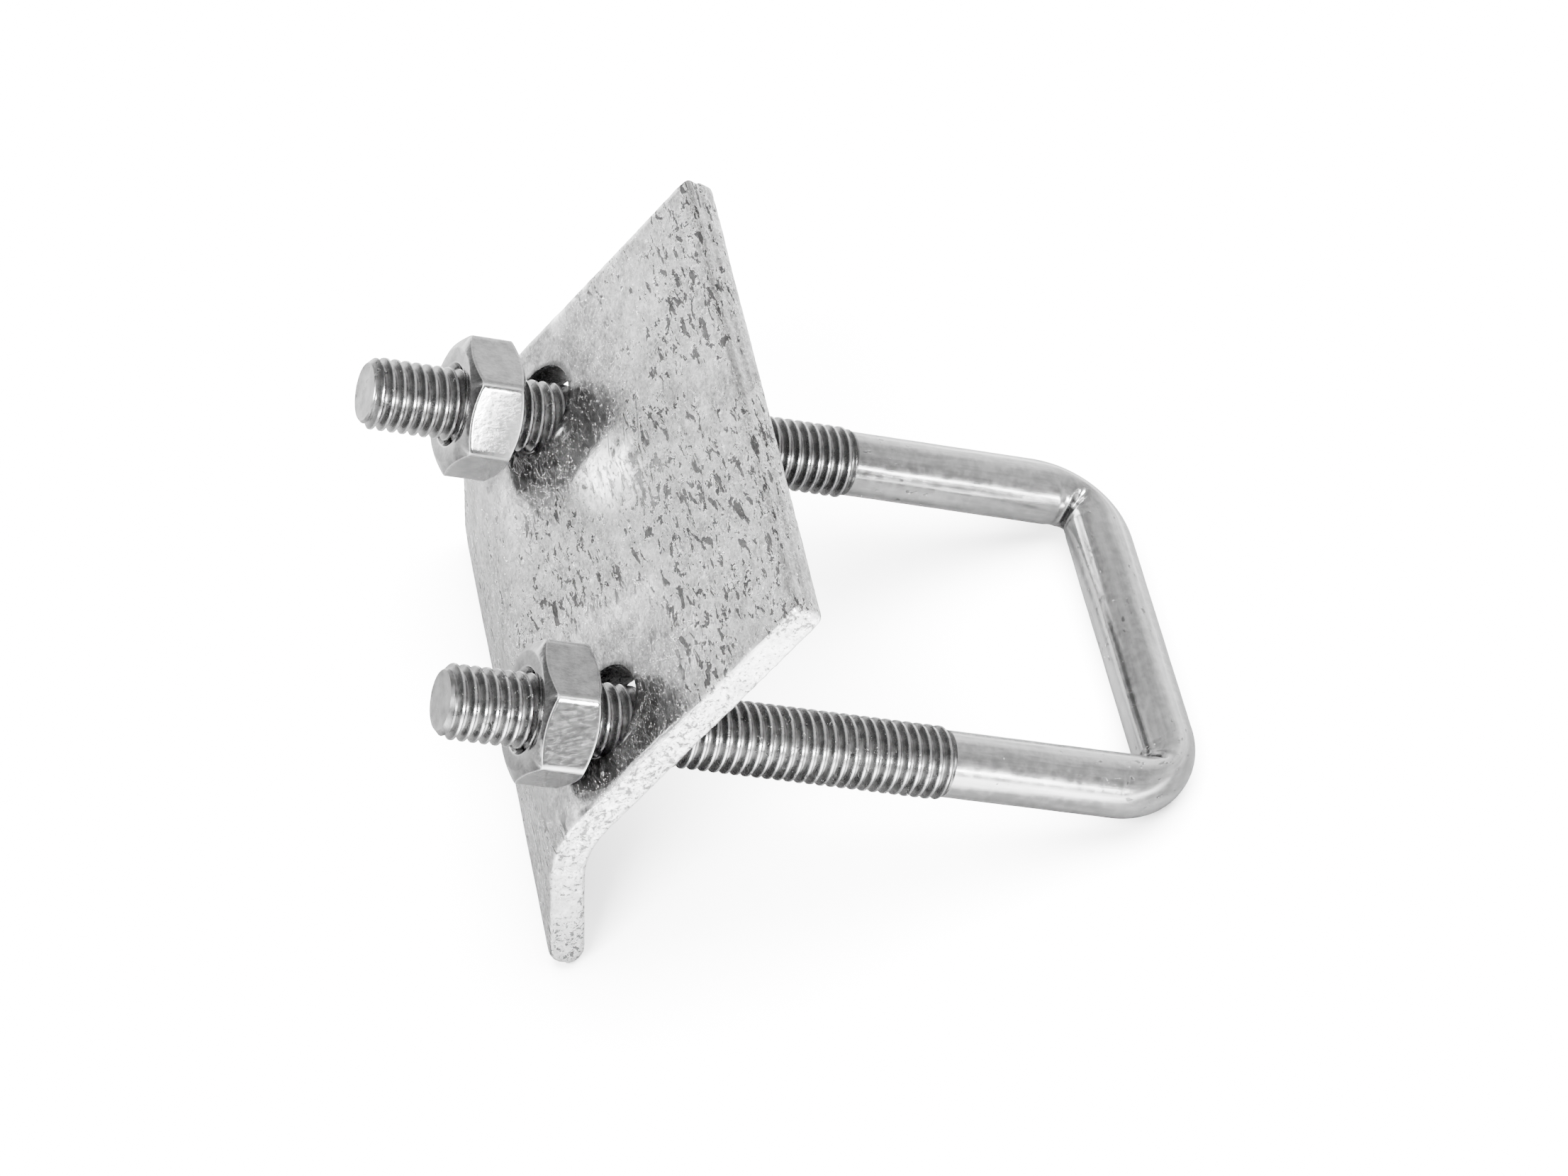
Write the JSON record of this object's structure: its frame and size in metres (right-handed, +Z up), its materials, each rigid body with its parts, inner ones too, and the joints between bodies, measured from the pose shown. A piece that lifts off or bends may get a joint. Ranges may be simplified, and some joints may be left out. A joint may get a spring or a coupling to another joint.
{
  "type": "u-bolt beam clamp",
  "caption": "Galvanised square U-bolt with a bent clamp plate and hexagon nuts, for hanging strut channel from a beam flange.",
  "frame": {"origin": "middle of the clamp's footprint, on the surface that it lies on", "axes": "+X runs level from the nuts to the bow of the U-bolt, +Y along the bow from the near leg to the far leg, +Z up; the legs slope down towards +X"},
  "size_m": [0.105, 0.08, 0.0636],
  "materials": {
    "bolt_zinc": "galvanised steel, smooth satin on the bare rod and matt on the thread",
    "plate_zinc": "hot-dip galvanised steel, mottled matt grey with small pits and scratches",
    "nut_zinc": "galvanised steel, satin with brighter worn edges"
  },
  "bodies": {
    "plate": {"clamp_plate": "plate_zinc"},
    "bolt": {"u_bolt": "bolt_zinc"},
    "near_nut_body": {"near_nut": "nut_zinc"},
    "far_nut_body": {"far_nut": "nut_zinc"}
  },
  "joints": [
    {"name": "near_nut_turn", "type": "hinge", "parent": "plate", "child": "near_nut_body", "pos_m": [-0.03481, -0.0287, 0.0383], "axis": [0.9257, 0, -0.3783], "range_deg": [-2520, 11520]},
    {"name": "far_nut_turn", "type": "hinge", "parent": "plate", "child": "far_nut_body", "pos_m": [-0.03619, 0.0263, 0.03887], "axis": [0.9257, 0, -0.3783], "range_deg": [-2520, 11520]},
    {"name": "bolt_draw", "type": "slide", "parent": "plate", "child": "bolt", "axis": [-0.9257, 0, 0.3783], "range_m": [-0.0105, 0.048]}
  ],
  "couplings": [
    {"joint": "far_nut_turn", "follows": "near_nut_turn", "ratio": 1},
    {"joint": "bolt_draw", "follows": "near_nut_turn", "m_per_rad": 0.00023873}
  ]
}
